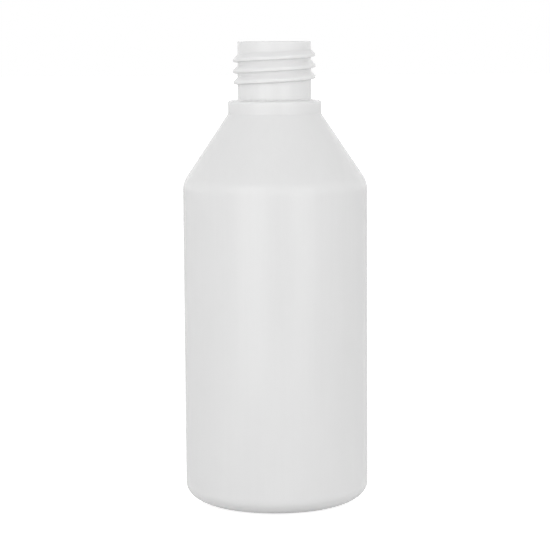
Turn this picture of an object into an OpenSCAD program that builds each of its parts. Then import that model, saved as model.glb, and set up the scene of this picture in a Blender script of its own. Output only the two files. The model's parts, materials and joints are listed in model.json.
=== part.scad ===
// Round 200 ml bottle, blown in one piece from natural polyethylene.
// The neck is open and carries an outside screw thread for a spout or a cap.
// Millimetres, +Z up. The origin is the middle of the surface it stands on.

/* [Body] */
// Outside diameter of the round body
body_d = 53; // [48:0.5:60]
// Height at which the straight side would meet the sloping shoulder
side_h = 92.8; // [70:0.1:140]
// Radius that rounds the edge between side and shoulder
shoulder_round = 7.1; // [3:0.1:12]
// How far the curved bottom edge reaches in from the side
foot_reach = 8.1; // [6:0.1:9]
// How far the curved bottom edge climbs up the side
foot_rise = 5.4; // [4:0.1:9]

/* [Base] */
// Diameter at which the standing ring ends and the hollow of the base begins
ring_d = 32; // [28:0.5:34]
// Depth of the hollow in the base
hollow_h = 2.4; // [1.4:0.1:4]
// Diameter of the flat panel inside the hollow
panel_d = 21; // [14:0.5:22]
// Length of the pinched seam across the base panel
seam_len = 17; // [10:0.5:20]
// Width of the pinched seam
seam_w = 1.1; // [0.6:0.1:2]
// How far the pinched seam stands out below the panel
seam_h = 0.6; // [0.3:0.05:1]

/* [Shoulder and collar] */
// Height of the sloping shoulder between side and collar
shoulder_h = 19.6; // [14:0.1:30]
// Outside diameter of the collar
collar_d = 26.7; // [25.5:0.1:30]
// Height of the collar at its edge
collar_h = 3.7; // [2.5:0.1:8]
// How much the collar's top rises towards the neck
collar_slope = 0.3; // [0.1:0.05:1]
// Radius of the collar's top edge
collar_round = 0.7; // [0.3:0.05:1.2]

/* [Neck] */
// Outside diameter of the neck between the thread's turns
neck_d = 21; // [20.4:0.1:22]
// Height of the neck from the collar's top to the mouth
neck_h = 16.6; // [15.6:0.1:22]
// Bore of the neck
bore_d = 18; // [16.5:0.1:18.4]
// Radius of the two edges of the mouth
mouth_round = 0.35; // [0.1:0.05:0.6]

/* [Thread] */
// Outside diameter of the thread
thread_d = 23.65; // [22.8:0.05:24]
// Rise of the thread in one turn, which is 8 threads to the inch
pitch = 3.175; // [3.1:0.025:3.4]
// Turns of the thread, with its two run-outs
turns = 2.65; // [1.5:0.05:2.9]
// Height of the thread's lower end above the collar's top
thread_low = 4.6; // [3.4:0.1:5.2]
// Direction of the thread's lower end, seen from above and counted from +X
thread_from = 152; // [0:1:359]
// Angle over which each end of the thread runs out
runout = 40; // [20:1:80]
// Width of the thread's crest
crest_w = 0.75; // [0.4:0.05:1]
// Slope of the upper side of the thread, from the horizontal
upper_flank = 45; // [30:1:48]
// Slope of the lower side of the thread, which takes the closure's pull
lower_flank = 10; // [5:1:20]

/* [Walls] */
// Wall of the body's side
side_wall = 0.95; // [0.7:0.05:1.5]
// Wall of the shoulder
shoulder_wall = 1.15; // [0.9:0.05:1.5]
// Wall of the base
base_wall = 1.3; // [1:0.05:2]

/* [Hidden] */
natural_plastic = [0.90, 0.90, 0.89];

body_r = body_d / 2;
collar_r = collar_d / 2;
neck_r = neck_d / 2;
bore_r = bore_d / 2;
foot_r = body_r - foot_reach;
ring_r = ring_d / 2;
panel_r = panel_d / 2;
side_in_r = body_r - side_wall;

collar_z = side_h + shoulder_h;
collar_top = collar_z + collar_h + collar_slope;
mouth_z = collar_top + neck_h;

// The inner cone runs beside the outer one, one wall further in
lean = (body_r - collar_r) / shoulder_h;
cone_inset = shoulder_wall * sqrt(1 + lean * lean);
inner_side_h = side_h + (side_wall - cone_inset) / lean;
inner_cone_top = side_h + (body_r - cone_inset - bore_r) / lean;

// Small radii of the inside corners, and of the ring's inner edge
collar_foot_round = 0.8;
neck_foot_round = 0.6;
ring_round = 1.5;
panel_round = 5;
throat_round = 4;

arc_steps = 8;
around = 180;
seam_around = 24;

// The seam's root lies inside the base's wall, so that the two are one
seam_root = 0.5;

// The thread's root lies inside the neck's wall, so that the two are one
buried = 0.3;
tooth_h = (thread_d - neck_d) / 2;
crest_round = 0.2;
step_angle = 6;
thread_steps = ceil(360 * turns / step_angle);

function unit(v) = v / norm(v);

// Arc of radius r that rounds corner b on the way from a to c
function rounded(a, b, c, r) =
    let (
        to_a = unit(a - b),
        to_c = unit(c - b),
        half = acos(to_a * to_c) / 2,
        centre = b + unit(to_a + to_c) * r / sin(half),
        first = b + to_a * r / tan(half) - centre,
        last = b + to_c * r / tan(half) - centre,
        start = atan2(first.y, first.x),
        sweep = atan2(cross(first, last), first * last)
    )
    [for (i = [0:arc_steps]) centre + r * [cos(start + sweep * i / arc_steps), sin(start + sweep * i / arc_steps)]];

// Outline through a list of corners, each one [radius, height, rounding]
function outline(corners) =
    [for (i = [0:len(corners) - 1])
        let (b = [corners[i].x, corners[i].y])
        each (corners[i].z == 0
            ? [b]
            : rounded([corners[i - 1].x, corners[i - 1].y], b, [corners[i + 1].x, corners[i + 1].y], corners[i].z))];

// The bottom edge, a quarter of an ellipse from the standing ring up to the side
function foot_curve(side_r, floor_z) =
    [for (i = [1:2 * arc_steps - 1])
        let (a = 90 * i / (2 * arc_steps))
        [foot_r + (side_r - foot_r) * sin(a), foot_rise - (foot_rise - floor_z) * cos(a), 0]];

// Base from its middle out to the standing ring, lifted by the wall for the inside
function base_corners(lift) = [
    [0, hollow_h + lift, 0],
    [panel_r, hollow_h + lift, panel_round],
    [ring_r, lift, ring_round],
    [foot_r, lift, 0]
];

outside = concat(
    base_corners(0),
    foot_curve(body_r, 0),
    [
        [body_r, foot_rise, 0],
        [body_r, side_h, shoulder_round],
        [collar_r, collar_z, collar_foot_round],
        [collar_r, collar_top - collar_slope, collar_round],
        [neck_r, collar_top, neck_foot_round],
        [neck_r, mouth_z, mouth_round]
    ]
);

inside = concat(
    base_corners(base_wall),
    foot_curve(side_in_r, base_wall),
    [
        [side_in_r, foot_rise, 0],
        [side_in_r, inner_side_h, shoulder_round - side_wall],
        [bore_r, inner_cone_top, throat_round],
        [bore_r, mouth_z, mouth_round]
    ]
);

function reversed(list) = [for (i = [len(list) - 1:-1:0]) list[i]];

module wall() {
    rotate_extrude($fn = around)
        polygon(outline(concat(outside, reversed(inside))));
}

// The seam where the mould pinched the tube shut, which follows the panel.
// It lies in the plane where the two halves of the mould met, left and right.
module pinched_seam() {
    end_at = (seam_len - seam_w) / 2;
    intersection() {
        linear_extrude(hollow_h + seam_root) {
            square([2 * end_at, seam_w], center = true);
            for (side = [-1, 1])
                translate([side * end_at, 0])
                    circle(d = seam_w, $fn = seam_around);
        }
        rotate_extrude($fn = around)
            polygon(outline([
                [0, hollow_h - seam_h, 0],
                [panel_r, hollow_h - seam_h, panel_round],
                [ring_r, -seam_h, 0],
                [ring_r, seam_root, 0],
                [panel_r, hollow_h + seam_root, panel_round],
                [0, hollow_h + seam_root, 0]
            ]));
    }
}

// Share of the full tooth at a turn of a degrees from the thread's lower end
function grown(a) =
    let (t = max(0, min(1, a / runout, (360 * turns - a) / runout)))
    t * t * (3 - 2 * t);

// Buttress section of the tooth, [beyond the neck, above the crest's middle]
function tooth(a) =
    let (
        full = tooth_h + buried,
        depth = buried / 2 + (tooth_h + buried / 2) * grown(a),
        cut = crest_round * depth / full,
        edge = crest_w / 2
    )
    [
        [-buried, -edge - depth * tan(lower_flank)],
        [depth - buried - cut, -edge - cut * tan(lower_flank)],
        [depth - buried, -edge + cut],
        [depth - buried, edge - cut],
        [depth - buried - cut, edge + cut * tan(upper_flank)],
        [-buried, edge + depth * tan(upper_flank)]
    ];

module thread() {
    sides = len(tooth(0));
    points = [for (i = [0:thread_steps], p = tooth(360 * turns * i / thread_steps))
        let (a = 360 * turns * i / thread_steps)
        [
            (neck_r + p.x) * cos(thread_from + a),
            (neck_r + p.x) * sin(thread_from + a),
            collar_top + thread_low + pitch * a / 360 + p.y
        ]];
    skin = [for (i = [0:thread_steps - 1], k = [0:sides - 1])
        let (
            n = (k + 1) % sides,
            here = i * sides,
            next = here + sides
        )
        each [[here + k, here + n, next + n], [here + k, next + n, next + k]]];
    ends = [
        [for (k = [sides - 1:-1:0]) k],
        [for (k = [0:sides - 1]) thread_steps * sides + k]
    ];
    polyhedron(points, concat(skin, ends));
}

module bottle() {
    color(natural_plastic)
        union() {
            wall();
            pinched_seam();
            thread();
        }
}

bottle();
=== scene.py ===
import json
import math

import bpy
from mathutils import Matrix, Vector


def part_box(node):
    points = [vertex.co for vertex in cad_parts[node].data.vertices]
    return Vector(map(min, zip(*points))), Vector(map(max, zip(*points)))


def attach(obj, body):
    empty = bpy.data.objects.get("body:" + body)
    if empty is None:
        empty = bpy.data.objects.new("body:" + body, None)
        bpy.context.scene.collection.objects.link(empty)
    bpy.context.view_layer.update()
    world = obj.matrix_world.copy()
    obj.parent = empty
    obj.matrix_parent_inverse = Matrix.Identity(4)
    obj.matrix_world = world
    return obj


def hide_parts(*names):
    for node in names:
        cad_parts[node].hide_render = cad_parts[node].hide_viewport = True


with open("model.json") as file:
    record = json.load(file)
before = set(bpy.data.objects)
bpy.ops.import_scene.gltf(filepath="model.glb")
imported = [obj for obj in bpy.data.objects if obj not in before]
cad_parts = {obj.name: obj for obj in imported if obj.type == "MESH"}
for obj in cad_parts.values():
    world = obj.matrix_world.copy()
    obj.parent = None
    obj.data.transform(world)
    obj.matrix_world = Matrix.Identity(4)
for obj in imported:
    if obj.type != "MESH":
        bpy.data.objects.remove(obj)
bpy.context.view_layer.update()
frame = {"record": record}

# Sizes, in metres. What the frame gives is read from it, and the rest are the bottle's own values.
MM = 0.001
mount = {m["name"]: m for m in frame["record"]["mounts"]}
_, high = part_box("bottle")

body_r = high.x
mouth_z = high.z
bore_r = mount["neck_bore"]["dims"]["r_mm"] * MM
thread_r = mount["neck_thread"]["dims"]["r_mm"] * MM

neck_r = 10.5 * MM
neck_h = 16.6 * MM
collar_r = 13.35 * MM
collar_h = 3.7 * MM
collar_slope = 0.3 * MM
shoulder_h = 19.6 * MM
foot_reach = 8.1 * MM
foot_rise = 5.4 * MM
ring_r = 16 * MM
hollow_h = 2.4 * MM
panel_r = 10.5 * MM
seam_len = 17 * MM
seam_w = 1.1 * MM
seam_h = 0.6 * MM

side_wall = 0.95 * MM
shoulder_wall = 1.15 * MM
base_wall = 1.3 * MM

collar_top = mouth_z - neck_h
collar_z = collar_top - collar_slope - collar_h
side_h = collar_z - shoulder_h
foot_r = body_r - foot_reach
side_in_r = body_r - side_wall

shoulder_round = 7.1 * MM
collar_foot_round = 0.8 * MM
collar_round = 0.7 * MM
neck_foot_round = 0.6 * MM
mouth_round = 0.35 * MM
ring_round = 1.5 * MM
panel_round = 5 * MM
throat_round = 4 * MM

# The inner cone runs beside the outer one, one wall further in
lean = (body_r - collar_r) / shoulder_h
cone_inset = shoulder_wall * math.hypot(1, lean)
inner_side_h = side_h + (side_wall - cone_inset) / lean
inner_cone_top = side_h + (body_r - cone_inset - bore_r) / lean

# Thread: a right-hand helix. It starts at a direction counted from +X, and runs out at both ends.
pitch = 3.175 * MM
turns = 2.65
thread_low = 4.6 * MM
thread_from = 152
runout = 40

# The tooth's section: crest, flanks, roundings, and where one turn's share of the neck begins below the crest
crest_w = 0.75 * MM
crest_edge = crest_w / 2
upper_flank = math.radians(45)
lower_flank = math.radians(10)
lower_root_round = 0.18 * MM
lower_crest_round = 0.22 * MM
upper_crest_round = 0.28 * MM
upper_root_round = 0.45 * MM
below_crest = 0.95 * MM

# Share of its flanks' width that the tooth keeps where it has run out
flank_kept = 0.2

# The strip with the thread is joined to two level rings: one above the collar's top and one below the mouth
ring_above_collar = 1 * MM
ring_below_mouth = 0.8 * MM

# The two parting lines of the mould, left and right: fine ridges between two shallow dips
line_half_deg = 0.3
dip_deg = 0.7
dip_end_deg = 6
dip = 0.09 * MM

# The pinched seam: how far its flanks spread at the foot, their width, and the length of its sloping ends
seam_spread = 0.12 * MM
seam_flank = 0.4 * MM
seam_end = 1.2 * MM

# The seam's torn top: its mean share of the full height, and waves as (share, length, phase)
torn_share = 0.88
torn_waves = [(0.08, 0.9 * MM, 0), (0.04, 0.37 * MM, 1)]

# Fineness of the mesh: degrees between its columns, steps in its curves, and rows up a straight side
STEP_DEG = 2
ARC_STEPS = 10
FOOT_STEPS = 28
TOOTH_STEPS = 5
ROWS_PER_METRE = 250

# Distance between the rings of the base's panel, which is least outside, where the pinched seam crosses them
PANEL_RING = 0.25 * MM
INNER_PANEL_RING = 2.5 * MM

# How far before a rounded edge the even rings end, on the panel and on the side
PANEL_END = 1.25 * MM
SIDE_END = 3 * MM

# A ring below this radius is one vertex on the axis
ON_AXIS = 1e-9


def column_directions():
    """Directions of the columns of vertices in one turn, closer together beside the parting lines."""
    directions = [float(a) for a in range(0, 360, STEP_DEG)]
    for line in (0, 180):
        for beside in (line_half_deg, dip_deg):
            directions += [(line + beside) % 360, (line - beside) % 360]
    return sorted(directions)


DIRECTIONS = column_directions()
COLUMNS = len(DIRECTIONS)


def direction(column):
    """Direction of a column in degrees, counted on past a full turn."""
    return 360 * (column // COLUMNS) + DIRECTIONS[column % COLUMNS]


def limited(t):
    """A share, kept between 0 and 1."""
    return max(0, min(1, t))


def eased(t):
    """A share from 0 to 1 that sets off and arrives without a corner."""
    t = limited(t)
    return t * t * (3 - 2 * t)


def line_dip(degrees):
    """How far the surface lies below its full radius near a parting line."""
    off = abs((degrees + 90) % 180 - 90)
    if off < line_half_deg:
        return 0
    if off < dip_deg:
        return dip * (off - line_half_deg) / (dip_deg - line_half_deg)
    return dip * (1 - eased((off - dip_deg) / (dip_end_deg - dip_deg)))


def seam_drop(x, y):
    """How far the pinched seam stands out below the base panel."""
    side = eased((seam_w / 2 + seam_spread - abs(y)) / seam_flank)
    end = limited((seam_len / 2 - abs(x)) / seam_end)
    torn = torn_share + sum(share * math.sin(x / length + phase) for share, length, phase in torn_waves)
    return seam_h * torn * side * end * (2 - end)


def rounded(a, b, c, radius, steps):
    """Points of the arc that rounds corner b on the way from a to c."""
    a, b, c = Vector(a), Vector(b), Vector(c)
    to_a, to_c = (a - b).normalized(), (c - b).normalized()
    half = math.acos(max(-1, min(1, to_a.dot(to_c)))) / 2
    centre = b + (to_a + to_c).normalized() * radius / math.sin(half)
    first = b + to_a * radius / math.tan(half) - centre
    last = b + to_c * radius / math.tan(half) - centre
    start = math.atan2(first.y, first.x)
    sweep = math.atan2(first.x * last.y - first.y * last.x, first.dot(last))
    angles = [start + sweep * i / steps for i in range(steps + 1)]
    return [centre + radius * Vector((math.cos(t), math.sin(t))) for t in angles]


def outline(corners, steps=ARC_STEPS):
    """Points through a list of corners, each one (radius, height, rounding)."""
    points = []
    for i, (r, z, rounding) in enumerate(corners):
        if rounding:
            points += rounded(corners[i - 1][:2], (r, z), corners[i + 1][:2], rounding, steps)
        else:
            points.append(Vector((r, z)))
    return points


def foot_curve(side_r, floor_z):
    """The bottom edge, a quarter of an ellipse from the standing ring up to the side."""
    curve = []
    for i in range(1, FOOT_STEPS):
        t = math.pi / 2 * i / FOOT_STEPS
        r = foot_r + (side_r - foot_r) * math.sin(t)
        curve.append((r, foot_rise - (foot_rise - floor_z) * math.cos(t), 0))
    return curve


def straight(r, z_low, z_high):
    """Evenly spaced rings up a straight side."""
    rows = max(2, round((z_high - z_low) * ROWS_PER_METRE))
    return [(r, z_low + (z_high - z_low) * i / rows, 0) for i in range(rows)]


def base_corners(lift):
    """The base from its middle out to the standing ring, lifted by the wall for the inside."""
    spacing = INNER_PANEL_RING if lift else PANEL_RING
    flat = [(i * spacing, hollow_h + lift, 0) for i in range(int((panel_r - PANEL_END) / spacing) + 1)]
    return flat + [
        (panel_r, hollow_h + lift, panel_round),
        (ring_r, lift, ring_round),
        (foot_r, lift, 0),
    ]


def lower_outside():
    """The outside from the middle of the base up to the foot of the neck."""
    top_of_side = side_h - SIDE_END
    corners = base_corners(0) + foot_curve(body_r, 0) + straight(body_r, foot_rise, top_of_side)
    corners += [
        (body_r, top_of_side, 0),
        (body_r, side_h, shoulder_round),
        (collar_r, collar_z, collar_foot_round),
        (collar_r, collar_top - collar_slope, collar_round),
        (neck_r, collar_top, neck_foot_round),
        (neck_r, collar_top + ring_above_collar, 0),
    ]
    return outline(corners)


def mouth_and_inside():
    """The rounded mouth and then the inside, down to the middle of the base."""
    side = straight(side_in_r, foot_rise, inner_side_h - SIDE_END)
    corners = [
        (neck_r, mouth_z - ring_below_mouth, 0),
        (neck_r, mouth_z, mouth_round),
        (bore_r, mouth_z, mouth_round),
        (bore_r, inner_cone_top, throat_round),
        (side_in_r, inner_side_h, shoulder_round - side_wall),
    ]
    corners += side[::-1] + foot_curve(side_in_r, base_wall)[::-1] + base_corners(base_wall)[::-1]
    return outline(corners)


def tooth_section():
    """The buttress tooth over one pitch, as (along the axis from the crest's middle, out of the neck)."""
    height = thread_r - neck_r
    corners = [
        (-below_crest, 0, 0),
        (-crest_edge - height * math.tan(lower_flank), 0, lower_root_round),
        (-crest_edge, height, lower_crest_round),
        (crest_edge, height, upper_crest_round),
        (crest_edge + height * math.tan(upper_flank), 0, upper_root_round),
        (pitch - below_crest, 0, 0),
    ]
    return outline(corners, TOOTH_STEPS)


def grown(turned):
    """Share of the full tooth at an angle from the thread's lower end, with both run-outs."""
    return eased(min(turned, 360 * turns - turned) / runout)


class Shell:
    """Vertices and faces of one closed mesh, built ring by ring."""

    def __init__(self):
        self.points = []
        self.faces = []

    def add(self, r, z, degrees):
        """One vertex. Gives its number."""
        t = math.radians(degrees)
        self.points.append((r * math.cos(t), r * math.sin(t), z))
        return len(self.points) - 1

    def ring(self, r, z, lined):
        """A ring of vertices, or one vertex where the ring closes on the axis."""
        if r < ON_AXIS:
            return [self.add(0, z, 0)]
        return [self.add(r - lined * line_dip(a), z, a) for a in DIRECTIONS]

    def band(self, lower, upper):
        """Faces between two rings, in the order in which the outline runs."""
        for i in range(COLUMNS):
            j = (i + 1) % COLUMNS
            quad = [
                lower[i % len(lower)],
                lower[j % len(lower)],
                upper[j % len(upper)],
                upper[i % len(upper)],
            ]
            self.faces.append([v for k, v in enumerate(quad) if v not in quad[:k]])

    def rings(self, points, lined):
        """Bands through all points of an outline, with or without parting lines. Gives the two end rings."""
        made = [self.ring(p.x, p.y, lined and p.x > panel_r) for p in points]
        for lower, upper in zip(made, made[1:]):
            self.band(lower, upper)
        return made[0], made[-1]


def add_thread(shell, bottom, top):
    """The neck's outside between two rings, as one strip that winds up the helix with the tooth in it."""
    section = tooth_section()
    last = len(section) - 1
    thread_to = thread_from + 360 * turns
    first = DIRECTIONS.index(thread_from)
    full_turns = int(thread_to // 360)
    columns = full_turns * COLUMNS + DIRECTIONS.index(round(thread_to - 360 * full_turns)) - first
    last_turn = columns - COLUMNS + 1

    def place(c, k):
        """Vertex for point k of the tooth's section in column c of the strip."""
        towards = direction(first + c)
        turned = towards - thread_from
        share = grown(turned)
        s, h = section[k]
        if 0 < k < last:
            side = max(-crest_edge, min(crest_edge, s))
            s = side + (s - side) * max(share, flank_kept)
        z = collar_top + thread_low + pitch * turned / 360 + s
        return shell.add(neck_r + h * share - line_dip(towards), z, towards)

    # A column ends where the column one turn further up begins, and in the last turn at a vertex of its own
    strip = [[place(c, k) for k in range(last)] for c in range(columns + 1)]
    rim = {c: place(c, last) for c in range(last_turn, columns + 1)}
    for c, column in enumerate(strip):
        column.append(rim[c] if c in rim else strip[c + COLUMNS][0])

    for c in range(columns):
        here, after = strip[c], strip[c + 1]
        for k in range(last):
            shell.faces.append([here[k], after[k], after[k + 1], here[k + 1]])

    def below(c):
        return bottom[(first + c) % COLUMNS]

    def above(c):
        return top[(first + c) % COLUMNS]

    # Below the first turn and above the last one. The one wider face of each takes in the strip's own end.
    for c in range(COLUMNS - 1):
        shell.faces.append([below(c), below(c + 1), strip[c + 1][0], strip[c][0]])
    shell.faces.append([below(COLUMNS - 1), below(0)] + strip[0] + [strip[COLUMNS - 1][0]])
    for c in range(last_turn, columns):
        shell.faces.append([strip[c][last], strip[c + 1][last], above(c + 1), above(c)])
    corner = [strip[last_turn][last], above(last_turn), above(last_turn - 1)]
    shell.faces.append(corner + strip[columns][::-1])


def mesh_object(name, points, faces):
    """A smooth-shaded object in the scene."""
    mesh = bpy.data.meshes.new(name)
    mesh.from_pydata(points, [], faces)
    mesh.validate()
    mesh.shade_smooth()
    made = bpy.data.objects.new(name, mesh)
    bpy.context.scene.collection.objects.link(made)
    return made


def make_bottle():
    """The whole bottle as one closed mesh: outside, mouth and inside, and the neck with its thread."""
    shell = Shell()
    _, neck_foot = shell.rings(lower_outside(), lined=True)
    shell.points = [(x, y, z - seam_drop(x, y)) for x, y, z in shell.points]
    mouth, _ = shell.rings(mouth_and_inside(), lined=False)
    add_thread(shell, neck_foot, mouth)
    return mesh_object("bottle_shell", shell.points, shell.faces)


# Plastic: its index of refraction, and how far light travels in it before it scatters
plastic_ior = 1.54
scatter_length = 0.9 * MM

# Noises: how far they are drawn out along x, y and z, their scale and their detail
CLOUDS = ((1, 1, 0.6), 65, 3)
STREAKS = ((1, 1, 0.03), 800, 2)
WAVES = ((1, 1, 0.15), 90, 1)
GRAIN = ((1, 1, 1), 3200, 2)
PATCHES = ((1, 1, 0.4), 140, 3)

# The usual span of a noise, and the spans that noises are brought to. Heights are in millimetres.
NOISE_SPAN = (0.3, 0.7)
cloud_tones = (0.848, 0.866)
streak_tones = (-0.003, 0.003)
wave_heights = (0, 0.045)
streak_heights = (0, 0.008)
grain_heights = (0, 0.006)
patch_roughness = (0.16, 0.2)


def new_material(name):
    """An empty material, with its nodes and links."""
    material = bpy.data.materials.new(name)
    material.use_nodes = True
    material.node_tree.nodes.clear()
    return material, material.node_tree.nodes, material.node_tree.links


def noise(nodes, links, place, kind):
    """Noise between about 0 and 1 over a place in metres. Its grain is drawn out where stretch is below 1."""
    stretch, scale, detail = kind
    drawn = nodes.new("ShaderNodeVectorMath")
    drawn.operation = "MULTIPLY"
    drawn.inputs[1].default_value = stretch
    links.new(place, drawn.inputs[0])
    texture = nodes.new("ShaderNodeTexNoise")
    texture.inputs["Scale"].default_value = scale
    texture.inputs["Detail"].default_value = detail
    links.new(drawn.outputs[0], texture.inputs["Vector"])
    return texture.outputs["Fac"]


def scaled(nodes, links, value, span, clamp=False):
    """A noise brought from its usual span to another one."""
    change = nodes.new("ShaderNodeMapRange")
    change.clamp = clamp
    change.inputs["From Min"].default_value = NOISE_SPAN[0]
    change.inputs["From Max"].default_value = NOISE_SPAN[1]
    change.inputs["To Min"].default_value = span[0]
    change.inputs["To Max"].default_value = span[1]
    links.new(value, change.inputs["Value"])
    return change.outputs["Result"]


def joined(nodes, links, operation, values):
    """Several values joined into one, each of them a node's output or, after the first, a plain number."""
    so_far = values[0]
    for value in values[1:]:
        step = nodes.new("ShaderNodeMath")
        step.operation = operation
        links.new(so_far, step.inputs[0])
        if isinstance(value, float):
            step.inputs[1].default_value = value
        else:
            links.new(value, step.inputs[1])
        so_far = step.outputs[0]
    return so_far


def natural_polyethylene():
    """Milky plastic that scatters light through its thin wall, with the faint marks of blow moulding."""
    material, nodes, links = new_material("natural_polyethylene")
    out = nodes.new("ShaderNodeOutputMaterial")
    skin = nodes.new("ShaderNodeBsdfPrincipled")
    skin.inputs["IOR"].default_value = plastic_ior
    skin.inputs["Subsurface Weight"].default_value = 1.0
    skin.inputs["Subsurface Radius"].default_value = (1, 1, 1)
    skin.inputs["Subsurface Scale"].default_value = scatter_length
    place = nodes.new("ShaderNodeTexCoord").outputs["Object"]

    # Milkiness: soft clouds about 15 mm across, and finer streaks drawn down the tube
    clouds = noise(nodes, links, place, CLOUDS)
    streaks = noise(nodes, links, place, STREAKS)
    milkiness = joined(nodes, links, "ADD", [
        scaled(nodes, links, clouds, cloud_tones),
        scaled(nodes, links, streaks, streak_tones),
    ])
    tone = nodes.new("ShaderNodeCombineColor")
    for channel in ("Red", "Green", "Blue"):
        links.new(milkiness, tone.inputs[channel])
    links.new(tone.outputs["Color"], skin.inputs["Base Color"])

    # Heights: slow waves of the wall, the same streaks as die lines, and the mould's fine matte grain
    waves = noise(nodes, links, place, WAVES)
    grain = noise(nodes, links, place, GRAIN)
    height = joined(nodes, links, "ADD", [
        scaled(nodes, links, waves, wave_heights),
        scaled(nodes, links, streaks, streak_heights),
        scaled(nodes, links, grain, grain_heights),
    ])
    bump = nodes.new("ShaderNodeBump")
    bump.inputs["Distance"].default_value = MM
    links.new(height, bump.inputs["Height"])
    links.new(bump.outputs["Normal"], skin.inputs["Normal"])

    patches = noise(nodes, links, place, PATCHES)
    links.new(scaled(nodes, links, patches, patch_roughness, clamp=True), skin.inputs["Roughness"])
    links.new(skin.outputs["BSDF"], out.inputs["Surface"])
    return material


# Floor: half its width, the tone of its card, and the glow that each kind of ray sees besides
floor_half = 6
card_tone = 0.73
floor_glow = {"Is Glossy Ray": 0.31, "Is Camera Ray": 0.75, "Is Diffuse Ray": 0.04}


def make_floor():
    """A plain pale floor that runs on under the whole view."""
    sides = [(-1, -1), (1, -1), (1, 1), (-1, 1)]
    corners = [(x * floor_half, y * floor_half, 0) for x, y in sides]
    floor = mesh_object("floor", corners, [(0, 1, 2, 3)])
    material, nodes, links = new_material("white_floor")
    out = nodes.new("ShaderNodeOutputMaterial")
    card = nodes.new("ShaderNodeBsdfDiffuse")
    card.inputs["Color"].default_value = (card_tone, card_tone, card_tone, 1)
    glow = nodes.new("ShaderNodeEmission")
    path = nodes.new("ShaderNodeLightPath")
    parts = [
        joined(nodes, links, "MULTIPLY", [path.outputs[ray], strength])
        for ray, strength in floor_glow.items()
    ]
    links.new(joined(nodes, links, "ADD", parts), glow.inputs["Strength"])
    both = nodes.new("ShaderNodeAddShader")
    links.new(card.outputs[0], both.inputs[0])
    links.new(glow.outputs[0], both.inputs[1])
    links.new(both.outputs[0], out.inputs["Surface"])
    floor.data.materials.append(material)


# Light from all round: its colour, and its strength at the horizon and straight above
WHITE = (1, 1, 1, 1)
horizon_strength = 1.38
zenith_strength = 0.25


def make_world():
    """Soft light that fades from the horizon to straight above. It is seen, and mirrored, as plain white."""
    world = bpy.data.worlds.new("studio")
    world.use_nodes = True
    nodes, links = world.node_tree.nodes, world.node_tree.links
    nodes.clear()
    out = nodes.new("ShaderNodeOutputWorld")
    fill = nodes.new("ShaderNodeBackground")
    fill.inputs["Color"].default_value = WHITE
    where = nodes.new("ShaderNodeTexCoord")
    upward = nodes.new("ShaderNodeSeparateXYZ")
    fading = nodes.new("ShaderNodeMapRange")
    fading.inputs["To Min"].default_value = horizon_strength
    fading.inputs["To Max"].default_value = zenith_strength
    links.new(where.outputs["Generated"], upward.inputs[0])
    links.new(upward.outputs["Z"], fading.inputs["Value"])
    links.new(fading.outputs["Result"], fill.inputs["Strength"])
    white = nodes.new("ShaderNodeBackground")
    white.inputs["Color"].default_value = WHITE
    path = nodes.new("ShaderNodeLightPath")
    seen = [path.outputs[ray] for ray in ("Is Camera Ray", "Is Glossy Ray", "Is Transmission Ray")]
    mix = nodes.new("ShaderNodeMixShader")
    links.new(joined(nodes, links, "MAXIMUM", seen), mix.inputs["Fac"])
    links.new(fill.outputs[0], mix.inputs[1])
    links.new(white.outputs[0], mix.inputs[2])
    links.new(mix.outputs[0], out.inputs["Surface"])
    bpy.context.scene.world = world


# Softboxes: the height of their middle, their width, and how tall they are
softbox_z = 0.15
softbox_w = 0.19
softbox_tall = 0.30

# Each one's direction in degrees from the camera's side, positive to the right, its distance and its radiance
softboxes = {
    "left_softbox": (-28.2, 0.28, 0.74),
    "right_softbox": (34, 0.36, 0.72),
}


def make_softbox(name, azimuth, distance, radiance):
    """A rectangular lamp that faces the middle of the bottle's mouth."""
    lamp = bpy.data.lights.new(name, "AREA")
    lamp.shape = "RECTANGLE"
    lamp.size = softbox_w
    lamp.size_y = softbox_tall
    lamp.energy = radiance * math.pi * softbox_w * softbox_tall
    holder = bpy.data.objects.new(name, lamp)
    bpy.context.scene.collection.objects.link(holder)
    a = math.radians(azimuth)
    holder.location = (distance * math.sin(a), -distance * math.cos(a), softbox_z)
    away = holder.location - Vector((0, 0, mouth_z))
    holder.rotation_mode = "QUATERNION"
    holder.rotation_quaternion = away.to_track_quat("Z", "Y")


# Camera: its place in body radii and its tilts in radians, as the photograph's perspective gives them
camera_back = 22.2 * body_r
camera_height = 5.1 * body_r
camera_pitch = 0.1174
camera_roll = -0.0066

# The picture's width, its focal length and how far the bottle's axis lies beside its middle, in pixels
picture_px = 550
focal_px = 2046.3
axis_offset_px = 0.66

# Width of the film in millimetres, and the nearest and farthest that the camera sees, in metres
sensor_mm = 36
clip_near = 0.01
clip_far = 20


def make_camera():
    camera = bpy.data.cameras.new("photo_camera")
    camera.sensor_width = sensor_mm
    camera.lens = sensor_mm * focal_px / picture_px
    camera.shift_x = -axis_offset_px / picture_px
    camera.clip_start = clip_near
    camera.clip_end = clip_far
    holder = bpy.data.objects.new("photo_camera", camera)
    bpy.context.scene.collection.objects.link(holder)
    look = Matrix.Rotation(math.pi / 2 - camera_pitch, 4, "X") @ Matrix.Rotation(camera_roll, 4, "Z")
    holder.matrix_world = Matrix.Translation((0, -camera_back, camera_height)) @ look
    bpy.context.scene.camera = holder


bottle = make_bottle()
bottle.data.materials.append(natural_polyethylene())
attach(bottle, "root")
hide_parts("bottle")

make_floor()
make_world()
for name, values in softboxes.items():
    make_softbox(name, *values)
make_camera()
bpy.context.scene.view_settings.view_transform = "Standard"
